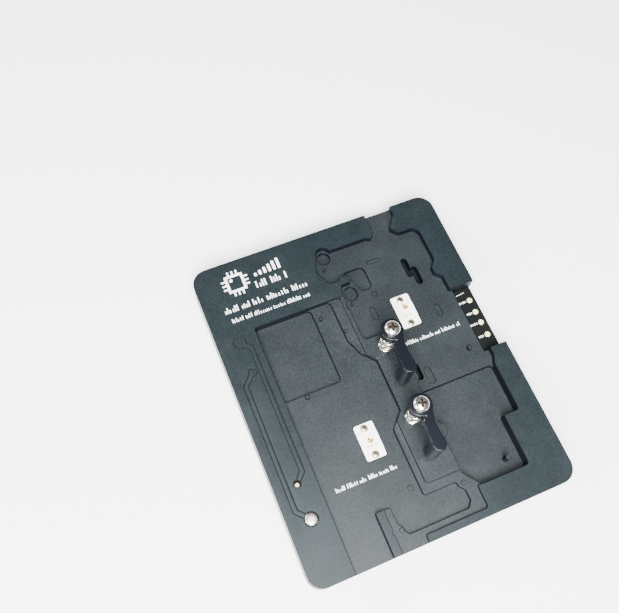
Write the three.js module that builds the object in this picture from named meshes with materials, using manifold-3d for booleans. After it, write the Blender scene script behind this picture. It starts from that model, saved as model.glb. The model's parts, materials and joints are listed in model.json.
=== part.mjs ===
// USB microcontroller programmer: a milled fixture plate over a circuit board and a tray-shaped
// bottom cover, with two spring-pin probe blocks, a push button and two screw-down board clamps.
// Lengths are millimetres. Plan positions are measured from the plate's front left corner, heights
// from the surface that the rubber feet stand on, and the whole is centred on the plate at the end.
import * as THREE from 'three';
import { mergeVertices } from 'three/addons/utils/BufferGeometryUtils.js';
import Module from 'manifold-3d';

const wasm = await Module();
wasm.setup();

// Driving dimensions
const PLATE = { width: 120, length: 145.6, thickness: 7.4, corner: 7 };
const FOOT = { radius: 5, height: 1.4, inset: 13, shift: 6 };
const FOOT_PLACES = [
  [FOOT.inset, FOOT.inset + FOOT.shift],
  [PLATE.width - FOOT.inset, FOOT.inset + FOOT.shift],
  [FOOT.inset, PLATE.length - FOOT.inset - FOOT.shift],
  [PLATE.width - FOOT.inset, PLATE.length - FOOT.inset - FOOT.shift],
];
const COVER = { bottom: 1.5, floor: 1.3, wall: 2, top: 6.2, boss: 3.6, slack: 0.1 };
const BOARD = { bottom: 6.3, thickness: 1.6, slack: 0.2 };
const PLATE_BOTTOM = 8;
const RIM = PLATE_BOTTOM + PLATE.thickness;
const BOARD_TOP = BOARD.bottom + BOARD.thickness;

// Depths of the milled levels below the rim
const DEPTH = { spine: 0.5, ledge: 1.5, left: 3.2, right: 3.4, bay: 5.2, well: 6 };
const SHALLOW_RECESS = 0.5;

const COVER_SCREW = { shank: 1.25, head: 2.3, headHeight: 1.3, seat: 3.3, tip: 11.4 };
const COVER_SCREW_PLACES = [[7, 7], [7, 72.8], [7, 138.6], [113, 7], [113, 55], [113, 138.6]];

const CLAMP = {
  holeRadius: 2.65,
  shankRadius: 2.45,
  shankLength: 22,
  headRadius: 3.5,
  headHeight: 2.6,
  reach: 17,
  eyeRadius: 5,
  eyeThickness: 4,
  footRadius: 3,
  footDrop: 13,
  footClearance: 2.5,
  webThickness: 3.2,
  springRadius: 3,
  wireRadius: 0.3,
  springTurns: 5.5,
};
const CLAMP_PLACES = { upper: [69, 82.4], lower: [66.1, 48.8] };

const PROBE = {
  width: 8.8,
  length: 15.8,
  earDepth: 2,
  earRise: 0.25,
  bodyRise: 0.7,
  stemWidth: 6.4,
  stemLength: 7.6,
  screwSpacing: 11.9,
  screwHead: 1.5,
  screwShank: 0.75,
  plunger: 1.1,
  barrel: 1.55,
  travel: 0.6,
  finePin: 0.3,
};
const PROBE_PLACES = {
  left: { centre: [45.6, 46.7], floor: DEPTH.left, plunger: [0.3, 0.3] },
  right: { centre: [85.4, 94.9], floor: DEPTH.right, plunger: [0.5, 1.9] },
};

const BUTTON = { place: [10.2, 26.3], radius: 2.6, hole: 2.9, flange: 3.6, flangeHeight: 0.8, dome: 0.5 };
const SWITCH = { size: 6, height: 2.1, plunger: 1.7, plungerTop: 3.1 };
const LED = { place: [10.2, 41.2], radius: 1.1, hole: 1.6, height: 5.6 };
const USB = { x: 30, width: 8.94, height: 3.16, length: 7.3, wall: 0.3, corner: 1.5 };
const PADS = { x: 116.9, radius: 1.25, height: 0.15, ys: [90.1, 84, 78.5, 72.1] };
const WINDOW = { left: 110, right: 130, bottom: 64.5, top: 96.3 };

// Parts soldered under the board: name, centre, width, length, height
const COMPONENTS = [
  ['microcontroller', [58, 84], 7, 7, 1],
  ['memory_chip', [80, 92], 5, 4, 1.1],
  ['voltage_regulator', [34, 122], 6.5, 3.5, 1.6],
  ['crystal', [58, 96], 3.2, 2.5, 0.8],
  ['inductor', [44, 122], 4, 4, 2],
  ['capacitor_input', [26, 124], 3.2, 1.6, 1.4],
  ['capacitor_output', [52, 122], 3.2, 1.6, 1.4],
];

// Gap between two pieces that sit one in the other, and between two that only face each other
const FIT = 0.15;
const SEAM = 0.05;

const ROUND = 20;
const SCREW_SIDES = 14;

const MATERIALS = {
  anodised: new THREE.MeshStandardMaterial({ color: 0x414f53, roughness: 0.5, metalness: 0.6 }),
  cover: new THREE.MeshStandardMaterial({ color: 0x1b1d20, roughness: 0.6, metalness: 0 }),
  board: new THREE.MeshStandardMaterial({ color: 0x0b0c0d, roughness: 0.35, metalness: 0 }),
  rubber: new THREE.MeshStandardMaterial({ color: 0x16171a, roughness: 0.9, metalness: 0 }),
  nickel: new THREE.MeshStandardMaterial({ color: 0xb9b6ac, roughness: 0.3, metalness: 1 }),
  steel: new THREE.MeshStandardMaterial({ color: 0x8d8f92, roughness: 0.35, metalness: 1 }),
  gold: new THREE.MeshStandardMaterial({ color: 0xe3c376, roughness: 0.3, metalness: 1 }),
  whitePlastic: new THREE.MeshStandardMaterial({ color: 0xf4f4f2, roughness: 0.45, metalness: 0 }),
  blackPlastic: new THREE.MeshStandardMaterial({ color: 0x10141c, roughness: 0.25, metalness: 0 }),
  chip: new THREE.MeshStandardMaterial({ color: 0x17181a, roughness: 0.5, metalness: 0 }),
  lens: new THREE.MeshStandardMaterial({ color: 0xf5e6c4, roughness: 0.3, metalness: 0 }),
};

// Closed outline through [x, y, radius] corners. A corner with a radius becomes a tangent arc.
function outline(corners) {
  const shape = new THREE.Shape();
  const count = corners.length;
  corners.forEach(([x, y, radius = 0], index) => {
    if (radius === 0) {
      if (index === 0) shape.moveTo(x, y);
      else shape.lineTo(x, y);
      return;
    }
    const [beforeX, beforeY] = corners[(index + count - 1) % count];
    const [afterX, afterY] = corners[(index + 1) % count];
    const back = new THREE.Vector2(beforeX - x, beforeY - y).normalize();
    const ahead = new THREE.Vector2(afterX - x, afterY - y).normalize();
    const half = Math.acos(back.dot(ahead)) / 2;
    const inward = back.clone().add(ahead).normalize();
    const centre = new THREE.Vector2(x, y).addScaledVector(inward, radius / Math.sin(half));
    const from = new THREE.Vector2(x, y).addScaledVector(back, radius / Math.tan(half)).sub(centre);
    const to = new THREE.Vector2(x, y).addScaledVector(ahead, radius / Math.tan(half)).sub(centre);
    const clockwise = back.cross(ahead) > 0;
    shape.absarc(centre.x, centre.y, radius, from.angle(), to.angle(), clockwise);
  });
  return shape;
}

function rectangle(x0, y0, x1, y1, radius = 0) {
  return outline([[x0, y0, radius], [x1, y0, radius], [x1, y1, radius], [x0, y1, radius]]);
}

function centredRectangle([x, y], width, length, radius = 0) {
  return rectangle(x - width / 2, y - length / 2, x + width / 2, y + length / 2, radius);
}

// Closed solid from any closed geometry
function solid(geometry) {
  const bare = geometry.clone();
  bare.deleteAttribute('normal');
  bare.deleteAttribute('uv');
  const merged = mergeVertices(bare);
  const vertProperties = new Float32Array(merged.attributes.position.array);
  const triVerts = new Uint32Array(merged.index.array);
  return new wasm.Manifold(new wasm.Mesh({ numProp: 3, vertProperties, triVerts }));
}

function prism(shape, bottom, top, curveSegments = 2) {
  const depth = top - bottom;
  const geometry = new THREE.ExtrudeGeometry(shape, { depth, bevelEnabled: false, curveSegments });
  return solid(geometry.translate(0, 0, bottom));
}

function cylinder([x, y], radius, bottom, top, segments = ROUND) {
  const geometry = new THREE.CylinderGeometry(radius, radius, top - bottom, segments);
  geometry.rotateX(Math.PI / 2);
  return solid(geometry.translate(x, y, (bottom + top) / 2));
}

// Solid of revolution from [radius, height] points that run up the outside and start and end on the axis
function turned([x, y], profile, segments = ROUND) {
  const points = profile.map(([radius, height]) => new THREE.Vector2(radius, height));
  const geometry = new THREE.LatheGeometry(points, segments);
  geometry.rotateX(Math.PI / 2);
  return solid(geometry.translate(x, y, 0));
}

function subtractAll(base, cutters) {
  return cutters.reduce((rest, cutter) => rest.subtract(cutter), base);
}

function addAll(base, additions) {
  return additions.reduce((whole, addition) => whole.add(addition), base);
}

function geometryOf(body) {
  const mesh = body.getMesh();
  const geometry = new THREE.BufferGeometry();
  geometry.setAttribute('position', new THREE.BufferAttribute(new Float32Array(mesh.vertProperties), 3));
  geometry.setIndex(new THREE.BufferAttribute(new Uint32Array(mesh.triVerts), 1));
  const flat = geometry.toNonIndexed();
  flat.computeVertexNormals();
  return flat;
}

function piece(name, body, material) {
  const mesh = new THREE.Mesh(geometryOf(body), material);
  mesh.name = name;
  return mesh;
}

const plateOutline = (inset) => rectangle(
  inset, inset, PLATE.width - inset, PLATE.length - inset, PLATE.corner - inset);

// Milled regions. Edges that leave the plate run a little past it.
const OUT = 5;
const REAR = PLATE.length + OUT;
const NORTH_WALL = 111.1;
const LEFT_WALL = 18.3;
const SPINE_LEFT = 59.3;
const SPINE_RIGHT = 75;

const spineRegion = () => outline([
  [SPINE_LEFT, 21.3], [76, 21.3], [78, 40], [78, 60], [78, 90], [63, 90], [63, NORTH_WALL],
  [SPINE_LEFT, NORTH_WALL]]);

const ledgeRegion = () => outline([
  [LEFT_WALL, -OUT], [38.7, -OUT], [50.3, -OUT], [50.3, 3.3, 1], [78.7, 3.3, 1.2], [78.7, 12.8, 0.6],
  [84, 12.8], [84, 21.3], [SPINE_LEFT, 21.3, 1.5], [SPINE_LEFT, NORTH_WALL, 1.5],
  [LEFT_WALL, NORTH_WALL, 1.5]]);

const leftRegion = () => outline([
  [LEFT_WALL, -OUT], [34.9, -OUT], [34.9, 18.6, 0.6], [41.7, 18.6, 0.8], [41.8, 11.4, 0.6], [43.2, 9.6, 0.8],
  [44.4, 6.1, 1], [71.6, 6.1, 1], [73.7, 8.6, 1], [73.7, 13.1, 1], [71.8, 15.4, 0.8], [71.3, 17.5, 0.8],
  [56.6, 17.5, 1.2], [56.6, 47.2, 1], [62.8, 53.4, 1.6], [62.8, 77.6, 2], [57.4, 83.6, 1.5],
  [56, 87.6, 1.5], [54.6, 91, 1.5], [54.6, NORTH_WALL, 2], [LEFT_WALL, NORTH_WALL, 1.5]]);

const islandOutline = () => outline([
  [34.9, 0], [38.7, 0], [38.7, 7, 1], [38, 8.6, 1], [38.7, 10.4, 1], [38.7, 18.6], [34.9, 18.6, 0.6]]);

const bayOutline = () => rectangle(LEFT_WALL, 75.3, 45.1, NORTH_WALL, 1.8);

const rightRegion = () => outline([
  [110.3, 50], [SPINE_RIGHT, 50], [SPINE_RIGHT, 61.5, 0.8], [76.6, 64, 0.8], [76.6, 74.5, 1],
  [SPINE_RIGHT, 77.6, 1],
  [SPINE_RIGHT, 88.2, 1], [61.2, 88.2, 2], [61.2, 103, 1], [60.3, 105.2, 1], [61.4, 108.5, 1], [61, 112.5, 1],
  [62.6, 116.2, 1], [67, 116.2, 0.8], [67.9, 118.3, 0.8], [66.2, 120.1, 0.8], [63.7, 120.1, 0.6],
  [61.6, 118.5, 0.8], [57.6, 118.5, 1.5], [55.9, 121.6, 1], [54.4, 125.6, 1.5], [55.6, 129.8, 1],
  [57.3, 134.2, 1], [82.4, 134.2, 1], [84.9, 133.2, 0.8], [87, 135.2, 0.8], [87, REAR], [100.2, REAR],
  [100.2, 141.2, 0.8], [95.3, 134.8, 1], [98.4, 131.1, 2], [107.9, 131.1, 4], [107.9, 112.6, 1],
  [105, 109.4, 1.2], [105, 106.2, 1.2], [107.9, 103.4, 1], [107.9, WINDOW.top, 0.6], [112, WINDOW.top],
  [112, 61], [110.3, 57]]);

const wellRegion = () => outline([
  [75.4, 20.2], [80.5, 13.6], [81.5, 12.6], [103, 12.6, 1.6], [103, 34.9, 0.6], [110.3, 34.9, 1.2],
  [110.3, 57.6, 2], [SPINE_RIGHT, 57.6], [SPINE_RIGHT, 43.2, 0.8], [77.7, 41, 1], [77.7, 37.6, 1],
  [SPINE_RIGHT, 35.2, 0.8]]);

// Extra pockets in the right floor: [outline, depth below the rim]
const deepPockets = () => [
  [outline([[66.3, 122.6, 1.6], [76.3, 122.6, 2.4], [76.3, 111.2, 2], [71, 111.2, 1.6], [69.2, 117.6, 1.2],
    [66.3, 119.4, 1]]), 5],
  [rectangle(62.9, 108.3, 68.5, 115.3, 2.7), 5],
];

const shallowRecesses = () => [
  centredRectangle([81.9, 123.3], 6.3, 1.7, 0.8),
  centredRectangle([71.6, 99.2], 2.5, 6.2, 1.2),
  centredRectangle([99.6, 90], 2.6, 6.1, 1.25),
  centredRectangle([82.2, 63.6], 2.9, 7.8, 1.4),
  centredRectangle([75.6, 107.6], 2.2, 2.7, 0.8),
];

const throughSlots = () => [
  rectangle(94, 109.7, 96.8, 119.3, 1.3),
  rectangle(96.6, 104.9, 99.5, 114, 1.3),
  rectangle(76.5, 63, 79.4, 71, 1.4),
];

// Milled pins: [centre, radius, depth of the floor they stand on, height]
const PINS = [
  [[28.3, 73.7], 0.95, DEPTH.left, 2.2],
  [[47.7, 104.8], 0.7, DEPTH.left, 2],
  [[103.9, 68], 0.95, DEPTH.right, 2.2],
  [[96.5, 18.4], 1.25, DEPTH.well, 5.4],
  [[58.6, 126.6], 0.65, DEPTH.right, 1.6],
  [[64, 106.6], 0.65, DEPTH.right, 1.6],
  [[55.5, 95.3], 0.8, DEPTH.ledge, 0.8],
  [[53.1, 22.5], 1.3, DEPTH.left, 0.3],
  [[74.2, 16.1], 1.2, DEPTH.ledge, 0.4],
  [[42.3, 8.6], 1.1, DEPTH.ledge, 0.4],
];

function topPlate() {
  const above = RIM + 1;
  const mill = (shape, depth) => prism(shape, RIM - depth, above);
  const blank = prism(plateOutline(0), PLATE_BOTTOM, RIM, 4);
  const levels = [
    mill(spineRegion(), DEPTH.spine),
    mill(ledgeRegion(), DEPTH.ledge),
    mill(leftRegion(), DEPTH.left),
    mill(rightRegion(), DEPTH.right),
    mill(bayOutline(), DEPTH.bay),
    mill(wellRegion(), DEPTH.well),
    cylinder([60.8, 133.5], 3.4, RIM - DEPTH.right, above),
    cylinder([60.8, 132.6], 3.1, RIM - 5.5, above),
    ...deepPockets().map(([shape, depth]) => mill(shape, depth)),
    ...shallowRecesses().map((shape) => mill(shape, DEPTH.right + SHALLOW_RECESS)),
  ];
  const island = prism(islandOutline(), RIM - DEPTH.left - 1, RIM);
  const pins = PINS.map(([centre, radius, floor, height]) =>
    cylinder(centre, radius, RIM - floor - 0.5, RIM - floor + height, 12));
  const through = [
    ...throughSlots().map((shape) => prism(shape, 0, above)),
    prism(rectangle(WINDOW.left, WINDOW.bottom, WINDOW.right, WINDOW.top, 0.6), 0, above),
    ...Object.values(CLAMP_PLACES).map((place) => cylinder(place, CLAMP.holeRadius, 0, above)),
    cylinder(LED.place, LED.hole, 0, above),
    cylinder(BUTTON.place, BUTTON.hole, 0, above),
    cylinder(BUTTON.place, BUTTON.flange + 0.3, 0, PLATE_BOTTOM + 4.4),
    prism(centredRectangle(BUTTON.place, 7, 7), 0, PLATE_BOTTOM + 2.4),
    ...COVER_SCREW_PLACES.map((place) =>
      cylinder(place, COVER_SCREW.shank + 0.2, 0, COVER_SCREW.tip + 0.4, 12)),
  ];
  const milled = addAll(subtractAll(blank, levels), [island, ...pins]);
  return subtractAll(subtractAll(milled, through), Object.values(PROBE_PLACES).flatMap(probeSeat));
}

// Recess in the plate for a probe block: a step for its ears, a well for its stem and two screw holes
function probeSeat({ centre, floor }) {
  const seat = RIM - floor - PROBE.earDepth;
  return [
    prism(centredRectangle(centre, PROBE.width + 2 * FIT, PROBE.length + 2 * FIT, 1), seat - FIT, RIM),
    prism(centredRectangle(centre, PROBE.stemWidth + 2 * FIT, PROBE.stemLength + 2 * FIT, 0.6), 0, RIM),
    ...screwPlaces(centre).map((place) => cylinder(place, PROBE.screwShank + FIT, seat - 1.6, RIM, 12)),
  ];
}

const screwPlaces = ([x, y]) => [-1, 1].map((side) => [x, y + side * PROBE.screwSpacing / 2]);

const plungerPlace = ({ centre, plunger }) => [centre[0] + plunger[0], centre[1] + plunger[1]];

const finePinPlaces = ({ centre: [x, y] }) => [[x - 1.7, y - 2.2], [x - 0.1, y - 2.2], [x + 1.5, y - 2.2]];

function probeBlock(place) {
  const { centre: [x, y], floor } = place;
  const floorTop = RIM - floor;
  const seat = floorTop - PROBE.earDepth;
  const earTop = floorTop + PROBE.earRise;
  const bodyTop = floorTop + PROBE.bodyRise;
  const right = x + PROBE.width / 2;
  const left = x - PROBE.width / 2;
  const ears = prism(centredRectangle(place.centre, PROBE.width, PROBE.length, 0.9), seat, earTop, 3);
  const body = prism(outline([
    [left, y - 4.4], [right - 0.4, y - 4.4, 0.4], [right, y - 3.4, 0.5], [right, y + 2.6, 0.5],
    [right - 1.2, y + 4.4, 0.5], [left, y + 4.4]]), seat, bodyTop);
  const stem = prism(
    centredRectangle(place.centre, PROBE.stemWidth, PROBE.stemLength, 0.4), BOARD_TOP + 0.1, seat + 0.5);
  const holes = [
    cylinder(plungerPlace(place), PROBE.plunger + FIT, 0, RIM, 16),
    cylinder(plungerPlace(place), PROBE.barrel + FIT, 0, seat + 0.6, 16),
    ...finePinPlaces(place).map((pin) => cylinder(pin, PROBE.finePin + 0.1, 0, RIM, 8)),
    ...screwPlaces(place.centre).map((screw) => cylinder(screw, PROBE.screwShank + FIT, 0, RIM, 10)),
    ...screwPlaces(place.centre).map((screw) =>
      cylinder(screw, PROBE.screwHead + FIT, earTop - 0.9, RIM, SCREW_SIDES)),
  ];
  return subtractAll(addAll(ears, [body, stem]), holes);
}

// Small pan-head screw with a cross recess; the head's underside is at the seat height
function crossScrew(place, { headRadius, headHeight, shankRadius, seat, tip, recess }) {
  const rim = seat + headHeight * 0.55;
  const top = seat + headHeight;
  const body = turned(place, [
    [0, tip], [shankRadius * 0.7, tip], [shankRadius, tip + shankRadius * 0.4], [shankRadius, seat],
    [headRadius, seat], [headRadius, rim], [headRadius * 0.72, top], [0, top]], SCREW_SIDES);
  const slots = [[recess * 2, recess * 0.5], [recess * 0.5, recess * 2]].map(([width, length]) =>
    prism(centredRectangle(place, width, length), top - headHeight * 0.45, top + 1));
  return subtractAll(body, slots);
}

function probeScrew(place, floor) {
  const seat = RIM - floor + PROBE.earRise - 0.8;
  return crossScrew(place, {
    headRadius: PROBE.screwHead, headHeight: 0.85, shankRadius: PROBE.screwShank, seat,
    tip: RIM - floor - PROBE.earDepth - 1.5, recess: 0.85 });
}

// Sprung plunger: it stands above the block and can sink by its travel before its foot meets the barrel
function probePlunger(place) {
  const top = RIM - place.floor + PROBE.bodyRise + 0.6;
  const bottom = BOARD_TOP + 0.6 + PROBE.travel + 0.2;
  const radius = PROBE.plunger;
  return turned(plungerPlace(place), [
    [0, bottom], [radius, bottom], [radius, top - 0.35], [radius * 0.75, top], [radius * 0.45, top],
    [radius * 0.3, top - 0.2], [0, top - 0.2]], 16);
}

function probeBarrel(place) {
  const centre = plungerPlace(place);
  const top = RIM - place.floor - PROBE.earDepth + 0.3;
  const tube = cylinder(centre, PROBE.barrel, BOARD_TOP + SEAM, top, 16);
  return tube.subtract(cylinder(centre, PROBE.plunger + FIT, BOARD_TOP + 0.6, RIM, 16));
}

function finePin(centre, floor) {
  const top = RIM - floor + PROBE.bodyRise + 0.3;
  const radius = PROBE.finePin;
  const bottom = BOARD_TOP + SEAM;
  return turned(centre, [[0, bottom], [radius, bottom], [radius, top - 0.2], [0, top]], 8);
}

// Clamp lever: an eye around the screw, a flat arm with a web below it, and a foot that presses down
function clampLever([x, y]) {
  const bottom = RIM + CLAMP.footClearance + CLAMP.footDrop;
  const top = bottom + CLAMP.eyeThickness;
  const footCentre = [x, y - CLAMP.reach];
  const eye = cylinder([x, y], CLAMP.eyeRadius, bottom, top, 32);
  const arm = prism(outline([
    [x - 4.2, y - 2], [x - 2.4, y - 8, 4], [x - 3, y - CLAMP.reach], [x + 3, y - CLAMP.reach],
    [x + 2.4, y - 8, 4], [x + 4.2, y - 2]]), bottom, top, 4);
  const foot = cylinder(footCentre, CLAMP.footRadius, RIM + CLAMP.footClearance, top);
  const side = outline([
    [-8, bottom + 0.1], [-CLAMP.reach, bottom + 0.1], [-CLAMP.reach, bottom - 7],
    [-CLAMP.reach + 2.6, bottom - 6.6, 1.5]]);
  const depth = CLAMP.webThickness;
  const web = new THREE.ExtrudeGeometry(side, { depth, bevelEnabled: false, curveSegments: 3 });
  // The web's outline is drawn along Y and Z, so its sheet is stood up on the YZ plane
  web.applyMatrix4(new THREE.Matrix4().set(0, 0, 1, x - depth / 2, 1, 0, 0, y, 0, 1, 0, 0, 0, 0, 0, 1));
  const bore = cylinder([x, y], CLAMP.shankRadius + 0.3, 0, top + 1);
  return addAll(eye, [arm, foot, solid(web)]).subtract(bore);
}

function clampScrew(place) {
  const seat = RIM + CLAMP.footClearance + CLAMP.footDrop + CLAMP.eyeThickness + 0.1;
  return crossScrew(place, {
    headRadius: CLAMP.headRadius, headHeight: CLAMP.headHeight, shankRadius: CLAMP.shankRadius,
    seat, tip: seat - CLAMP.shankLength, recess: 1.9 });
}

class Helix extends THREE.Curve {
  constructor([x, y], radius, bottom, top, turns) {
    super();
    Object.assign(this, { x, y, radius, bottom, top, turns });
  }

  getPoint(share, target = new THREE.Vector3()) {
    const angle = share * this.turns * 2 * Math.PI;
    const height = THREE.MathUtils.lerp(this.bottom, this.top, share);
    return target.set(
      this.x + this.radius * Math.cos(angle), this.y + this.radius * Math.sin(angle), height);
  }
}

function clampSpring(place) {
  const bottom = RIM - DEPTH.spine + CLAMP.wireRadius + 0.1;
  const top = RIM + CLAMP.footClearance + CLAMP.footDrop - CLAMP.wireRadius - 0.1;
  const path = new Helix(place, CLAMP.springRadius, bottom, top, CLAMP.springTurns);
  const wire = new THREE.Shape().absarc(0, 0, CLAMP.wireRadius, 0, 2 * Math.PI, false);
  const steps = CLAMP.springTurns * 10;
  return solid(new THREE.ExtrudeGeometry(wire, { steps, extrudePath: path, curveSegments: 3 }));
}

function buttonCap() {
  const bottom = BOARD_TOP + SWITCH.plungerTop + 0.1;
  const flangeTop = bottom + BUTTON.flangeHeight;
  const top = RIM + BUTTON.dome;
  return turned(BUTTON.place, [
    [0, bottom], [BUTTON.flange, bottom], [BUTTON.flange, flangeTop], [BUTTON.radius, flangeTop],
    [BUTTON.radius, top - 0.5], [BUTTON.radius * 0.85, top - 0.15], [BUTTON.radius * 0.5, top], [0, top]]);
}

function switchBody() {
  const square = centredRectangle(BUTTON.place, SWITCH.size, SWITCH.size);
  const body = prism(square, BOARD_TOP + SEAM, BOARD_TOP + SWITCH.height);
  return body.subtract(cylinder(BUTTON.place, SWITCH.plunger + FIT, BOARD_TOP + 0.8, RIM));
}

const switchPlunger = () => cylinder(
  BUTTON.place, SWITCH.plunger, BOARD_TOP + 1.5, BOARD_TOP + SWITCH.plungerTop);

function statusLed() {
  const { radius, height } = LED;
  const bottom = BOARD_TOP + SEAM;
  return turned(LED.place, [
    [0, bottom], [radius, bottom], [radius, bottom + height - radius],
    [radius * 0.87, bottom + height - radius / 2], [radius / 2, bottom + height - radius * 0.13],
    [0, bottom + height]]);
}

function circuitBoard() {
  const blank = prism(plateOutline(BOARD.slack), BOARD.bottom, BOARD_TOP, 4);
  return subtractAll(blank, COVER_SCREW_PLACES.map((place) => cylinder(place, 1.5, 0, RIM, 12)));
}

const portHeight = BOARD.bottom - USB.height / 2 - SEAM;

// Rounded sheet in the XZ plane, from the rear edge inwards
function portPrism(width, height, corner, rear, front) {
  const shape = centredRectangle([USB.x, portHeight], width, height, corner);
  const depth = rear - front;
  const geometry = new THREE.ExtrudeGeometry(shape, { depth, bevelEnabled: false, curveSegments: 3 });
  geometry.rotateX(Math.PI / 2);
  return solid(geometry.translate(0, rear, 0));
}

function bottomCover() {
  const outer = prism(plateOutline(COVER.slack), COVER.bottom, COVER.top, 4);
  const cavity = prism(plateOutline(COVER.wall), COVER.bottom + COVER.floor, RIM, 4);
  const bosses = COVER_SCREW_PLACES.map((place) =>
    cylinder(place, COVER.boss, COVER.bottom + 0.2, COVER.top, 16));
  const screwHoles = COVER_SCREW_PLACES.flatMap((place) => [
    cylinder(place, COVER_SCREW.shank + 0.25, 0, RIM, SCREW_SIDES),
    cylinder(place, COVER_SCREW.head + 0.25, 0, COVER_SCREW.seat, SCREW_SIDES),
  ]);
  const port = portPrism(USB.width + 0.8, USB.height + 0.8, 1.8, PLATE.length + 1, PLATE.length - 4);
  return subtractAll(addAll(outer.subtract(cavity), bosses), [...screwHoles, port]);
}

function coverScrew(place) {
  const head = COVER_SCREW.seat - 0.05;
  const bottom = head - COVER_SCREW.headHeight;
  const body = turned(place, [
    [0, bottom], [COVER_SCREW.head * 0.75, bottom], [COVER_SCREW.head, bottom + 0.5],
    [COVER_SCREW.head, head],
    [COVER_SCREW.shank, head], [COVER_SCREW.shank, COVER_SCREW.tip - 0.4],
    [COVER_SCREW.shank * 0.6, COVER_SCREW.tip], [0, COVER_SCREW.tip]], SCREW_SIDES);
  const slots = [[2.2, 0.5], [0.5, 2.2]].map(([width, length]) =>
    prism(centredRectangle(place, width, length), 0, bottom + 0.7));
  return subtractAll(body, slots);
}

function usbShell() {
  const rear = PLATE.length - 0.1;
  const front = rear - USB.length;
  const inner = USB.wall * 2;
  return portPrism(USB.width, USB.height, USB.corner, rear, front)
    .subtract(portPrism(USB.width - inner, USB.height - inner, USB.corner - USB.wall, rear + 1, front + 1));
}

function usbTongue() {
  return portPrism(6.6, 0.7, 0.2, PLATE.length - 0.8, PLATE.length - 0.1 - USB.length + 1.05);
}

function rubberFoot(place) {
  const { radius, height } = FOOT;
  return turned(place, [[0, 0], [radius - 0.5, 0], [radius, 0.4], [radius, height], [0, height]]);
}

function programmer() {
  const plan = new THREE.Group();
  plan.position.set(-PLATE.width / 2, -PLATE.length / 2, 0);
  plan.add(
    piece('top_plate', topPlate(), MATERIALS.anodised),
    piece('circuit_board', circuitBoard(), MATERIALS.board),
    piece('bottom_cover', bottomCover(), MATERIALS.cover),
    piece('usb_socket_shell', usbShell(), MATERIALS.nickel),
    piece('usb_socket_tongue', usbTongue(), MATERIALS.blackPlastic),
    piece('button_cap', buttonCap(), MATERIALS.nickel),
    piece('switch_body', switchBody(), MATERIALS.chip),
    piece('switch_plunger', switchPlunger(), MATERIALS.blackPlastic),
    piece('status_led', statusLed(), MATERIALS.lens),
  );
  COMPONENTS.forEach(([name, centre, width, length, height]) => {
    const top = BOARD.bottom - SEAM;
    plan.add(piece(name, prism(centredRectangle(centre, width, length), top - height, top), MATERIALS.chip));
  });
  PADS.ys.forEach((y, index) => {
    const pad = cylinder([PADS.x, y], PADS.radius, BOARD_TOP + 0.02, BOARD_TOP + PADS.height);
    plan.add(piece(`test_pad_${index + 1}`, pad, MATERIALS.gold));
  });
  FOOT_PLACES.forEach((place, index) => {
    plan.add(piece(`rubber_foot_${index + 1}`, rubberFoot(place), MATERIALS.rubber));
  });
  COVER_SCREW_PLACES.forEach((place, index) => {
    plan.add(piece(`cover_screw_${index + 1}`, coverScrew(place), MATERIALS.steel));
  });
  Object.entries(PROBE_PLACES).forEach(([side, place]) => {
    plan.add(
      piece(`${side}_probe_block`, probeBlock(place), MATERIALS.whitePlastic),
      piece(`${side}_probe_plunger`, probePlunger(place), MATERIALS.gold),
      piece(`${side}_probe_barrel`, probeBarrel(place), MATERIALS.gold),
    );
    screwPlaces(place.centre).forEach((screw, index) => {
      plan.add(piece(`${side}_probe_screw_${index + 1}`, probeScrew(screw, place.floor), MATERIALS.nickel));
    });
    finePinPlaces(place).forEach((pin, index) => {
      plan.add(piece(`${side}_fine_pin_${index + 1}`, finePin(pin, place.floor), MATERIALS.gold));
    });
  });
  Object.entries(CLAMP_PLACES).forEach(([side, place]) => {
    plan.add(
      piece(`${side}_clamp_lever`, clampLever(place), MATERIALS.blackPlastic),
      piece(`${side}_clamp_screw`, clampScrew(place), MATERIALS.nickel),
      piece(`${side}_clamp_spring`, clampSpring(place), MATERIALS.nickel),
    );
  });
  const whole = new THREE.Group();
  whole.add(plan);
  return whole;
}

export default programmer();
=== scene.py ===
"""Visual model of a USB microcontroller programmer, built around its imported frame.

The frame gives every place and size. Lengths that belong to a piece's own detail are dataclass
fields in millimetres, and plan positions are measured from the plate's front left corner.
"""

from __future__ import annotations

import json
import logging
import math
import random
from contextlib import contextmanager
from dataclasses import dataclass, field
from enum import Enum
from functools import lru_cache
from typing import Callable, Iterator, Sequence

import bmesh
import bpy
from mathutils import Matrix, Vector

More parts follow.
